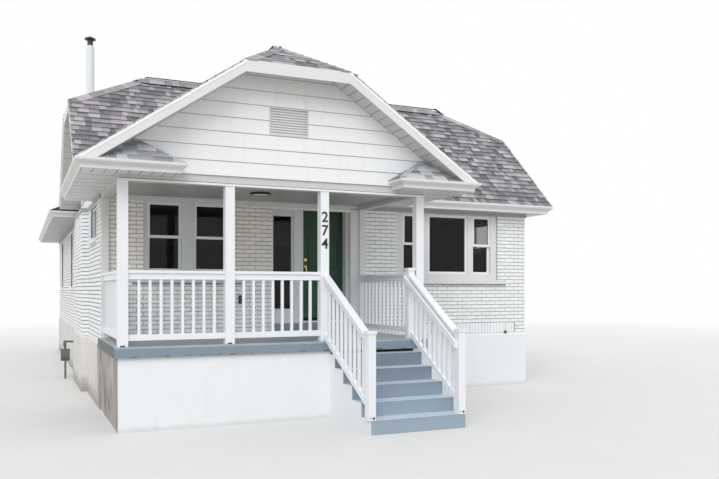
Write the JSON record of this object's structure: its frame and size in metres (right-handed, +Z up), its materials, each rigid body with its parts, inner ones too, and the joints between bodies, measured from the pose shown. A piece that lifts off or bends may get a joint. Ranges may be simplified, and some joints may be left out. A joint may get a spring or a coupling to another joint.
{
  "type": "bungalow",
  "caption": "Hollow one-storey brick house with clipped gable roofs, a gabled front porch on square posts, railed steps and a hinged front door.",
  "frame": {"origin": "middle of the house's width, on the face of the front brick wall, at the level of the lowest ground that it rests on", "axes": "+X to the right as seen from the front, +Y from the front to the back, +Z up"},
  "size_m": [9.604, 17.8616, 7.4],
  "materials": {
    "white_brick": "painted brick",
    "plaster": "white painted plaster",
    "concrete": "bare stained concrete",
    "step_paint": "blue-gray floor paint",
    "siding": "white painted lap siding",
    "shingles": "mineral shingles",
    "white_trim": "white gloss paint",
    "gray_trim": "light gray paint",
    "glass": "clear window glass",
    "green_paint": "dark green paint",
    "brass": "brushed brass",
    "sheet_metal": "white painted sheet metal",
    "gray_metal": "gray-green painted metal",
    "black_metal": "dark painted metal",
    "floor_boards": "varnished boards",
    "ceiling_plaster": "matt white plaster"
  },
  "bodies": {
    "house": {"foundation_front": "plaster", "foundation_rear": "concrete", "foundation_left": "concrete", "foundation_right": "concrete", "house_floor": "floor_boards", "front_wall_left": "white_brick", "front_wall_right": "white_brick", "front_wall_over_door": "white_brick", "left_wall": "white_brick", "right_wall": "white_brick", "rear_wall": "white_brick", "chimney_base": "concrete", "chimney_breast": "white_brick", "house_ceiling": "ceiling_plaster", "main_gable_left": "siding", "main_gable_right": "siding", "rear_gable": "siding", "porch_gable": "siding", "main_roof": "shingles", "porch_roof": "shingles", "rear_roof": "shingles", "return_roofs": "shingles", "main_eaves": "white_trim", "porch_eaves": "white_trim", "rear_eaves": "white_trim", "frieze_boards": "gray_trim", "porch_base": "plaster", "porch_deck": "step_paint", "front_steps": "step_paint", "entry_step": "step_paint", "post_1": "white_trim", "post_2": "white_trim", "post_3": "white_trim", "post_4": "white_trim", "porch_pilasters": "gray_trim", "porch_beam": "gray_trim", "porch_side_beams": "gray_trim", "porch_ceiling": "gray_trim", "front_railing": "white_trim", "side_railings": "white_trim", "stair_railing_left": "white_trim", "stair_railing_right": "white_trim", "front_window_casings": "gray_trim", "front_window_sashes": "white_trim", "left_windows": "white_trim", "right_windows": "white_trim", "rear_windows": "white_trim", "window_glass": "glass", "door_frame": "gray_trim", "entry_panel": "gray_trim", "flue_pipe": "sheet_metal", "gable_vent": "white_trim", "porch_light": "black_metal", "gas_meter": "gray_metal"},
    "door": {"front_door": "green_paint", "door_handle": "brass"}
  },
  "joints": [
    {"name": "door_hinge", "type": "hinge", "parent": "house", "child": "door", "pos_m": [0.1875, 0.291, 2.386], "axis": [0, 0, -1], "range_deg": [0, 95]}
  ]
}
